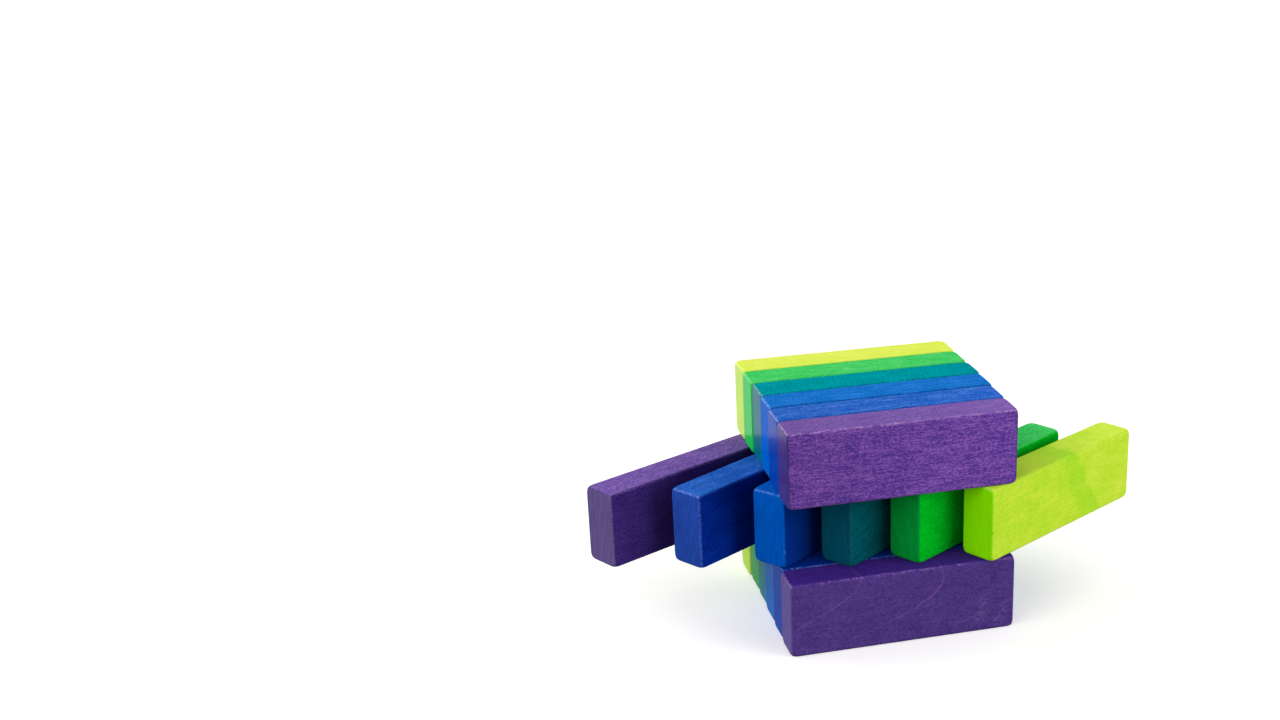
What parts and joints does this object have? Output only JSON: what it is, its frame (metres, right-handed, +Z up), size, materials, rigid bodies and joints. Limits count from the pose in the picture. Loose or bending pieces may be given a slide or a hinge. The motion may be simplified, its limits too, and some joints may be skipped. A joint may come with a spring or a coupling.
{
  "type": "stacking plank set",
  "caption": "Set of equal stained wooden planks, stacked in three crossed layers that pack into a cube, with the middle layer fanned out.",
  "frame": {"origin": "on the table, under the middle of the whole stack's box", "axes": "+X to the right along the planks of the bottom and top layers, +Y from the front to the back, +Z up"},
  "size_m": [0.2974, 0.1258, 0.1204],
  "materials": {
    "violet_stained_wood": "fine-grained hardwood, water-stained violet through the surface so that the grain shows, sanded smooth, satin, with eased edges",
    "dark_blue_stained_wood": "fine-grained hardwood, water-stained dark blue through the surface so that the grain shows, sanded smooth, satin, with eased edges",
    "blue_stained_wood": "fine-grained hardwood, water-stained blue through the surface so that the grain shows, sanded smooth, satin, with eased edges",
    "teal_stained_wood": "fine-grained hardwood, water-stained teal through the surface so that the grain shows, sanded smooth, satin, with eased edges",
    "green_stained_wood": "fine-grained hardwood, water-stained green through the surface so that the grain shows, sanded smooth, satin, with eased edges",
    "lime_stained_wood": "fine-grained hardwood, water-stained lime through the surface so that the grain shows, sanded smooth, satin, with eased edges"
  },
  "bodies": {
    "bottom_violet_plank": {"bottom_violet_plank": "violet_stained_wood"},
    "bottom_dark_blue_plank": {"bottom_dark_blue_plank": "dark_blue_stained_wood"},
    "bottom_blue_plank": {"bottom_blue_plank": "blue_stained_wood"},
    "bottom_teal_plank": {"bottom_teal_plank": "teal_stained_wood"},
    "bottom_green_plank": {"bottom_green_plank": "green_stained_wood"},
    "bottom_lime_plank": {"bottom_lime_plank": "lime_stained_wood"},
    "middle_violet_plank": {"middle_violet_plank": "violet_stained_wood"},
    "middle_dark_blue_plank": {"middle_dark_blue_plank": "dark_blue_stained_wood"},
    "middle_blue_plank": {"middle_blue_plank": "blue_stained_wood"},
    "middle_teal_plank": {"middle_teal_plank": "teal_stained_wood"},
    "middle_green_plank": {"middle_green_plank": "green_stained_wood"},
    "middle_lime_plank": {"middle_lime_plank": "lime_stained_wood"},
    "top_violet_plank": {"top_violet_plank": "violet_stained_wood"},
    "top_dark_blue_plank": {"top_dark_blue_plank": "dark_blue_stained_wood"},
    "top_blue_plank": {"top_blue_plank": "blue_stained_wood"},
    "top_teal_plank": {"top_teal_plank": "teal_stained_wood"},
    "top_green_plank": {"top_green_plank": "green_stained_wood"},
    "top_lime_plank": {"top_lime_plank": "lime_stained_wood"}
  },
  "joints": [
    {"name": "bottom_violet_draws_out", "type": "slide", "parent": "bottom_blue_plank", "child": "bottom_violet_plank", "axis": [-1, 0, 0], "range_m": [0, 0.125]},
    {"name": "bottom_dark_blue_draws_out", "type": "slide", "parent": "bottom_blue_plank", "child": "bottom_dark_blue_plank", "axis": [-1, 0, 0], "range_m": [0, 0.125]},
    {"name": "bottom_teal_draws_out", "type": "slide", "parent": "bottom_blue_plank", "child": "bottom_teal_plank", "axis": [1, 0, 0], "range_m": [0, 0.125]},
    {"name": "bottom_green_draws_out", "type": "slide", "parent": "bottom_blue_plank", "child": "bottom_green_plank", "axis": [1, 0, 0], "range_m": [0, 0.125]},
    {"name": "bottom_lime_draws_out", "type": "slide", "parent": "bottom_blue_plank", "child": "bottom_lime_plank", "axis": [1, 0, 0], "range_m": [0, 0.125]},
    {"name": "middle_violet_draws_out", "type": "slide", "parent": "bottom_blue_plank", "child": "middle_violet_plank", "axis": [-0.8746, -0.4848, 0], "range_m": [0, 0.035]},
    {"name": "middle_dark_blue_draws_out", "type": "slide", "parent": "bottom_blue_plank", "child": "middle_dark_blue_plank", "axis": [-0.8339, -0.5519, 0], "range_m": [0, 0.08]},
    {"name": "middle_blue_draws_out", "type": "slide", "parent": "bottom_blue_plank", "child": "middle_blue_plank", "axis": [-0.788, -0.6157, 0], "range_m": [0, 0.13]},
    {"name": "middle_teal_draws_out", "type": "slide", "parent": "bottom_blue_plank", "child": "middle_teal_plank", "axis": [0.8241, 0.5664, 0], "range_m": [0, 0.125]},
    {"name": "middle_green_draws_out", "type": "slide", "parent": "bottom_blue_plank", "child": "middle_green_plank", "axis": [0.8526, 0.5225, 0], "range_m": [0, 0.08]},
    {"name": "middle_lime_draws_out", "type": "slide", "parent": "bottom_blue_plank", "child": "middle_lime_plank", "axis": [0.8616, 0.5075, 0], "range_m": [0, 0.035]},
    {"name": "top_violet_lifts_off", "type": "slide", "parent": "bottom_blue_plank", "child": "top_violet_plank", "axis": [0, 0, 1], "range_m": [0, 0.045]},
    {"name": "top_dark_blue_lifts_off", "type": "slide", "parent": "bottom_blue_plank", "child": "top_dark_blue_plank", "axis": [0, 0, 1], "range_m": [0, 0.045]},
    {"name": "top_blue_lifts_off", "type": "slide", "parent": "bottom_blue_plank", "child": "top_blue_plank", "axis": [0, 0, 1], "range_m": [0, 0.045]},
    {"name": "top_teal_lifts_off", "type": "slide", "parent": "bottom_blue_plank", "child": "top_teal_plank", "axis": [0, 0, 1], "range_m": [0, 0.045]},
    {"name": "top_green_lifts_off", "type": "slide", "parent": "bottom_blue_plank", "child": "top_green_plank", "axis": [0, 0, 1], "range_m": [0, 0.045]},
    {"name": "top_lime_lifts_off", "type": "slide", "parent": "bottom_blue_plank", "child": "top_lime_plank", "axis": [0, 0, 1], "range_m": [0, 0.045]}
  ]
}
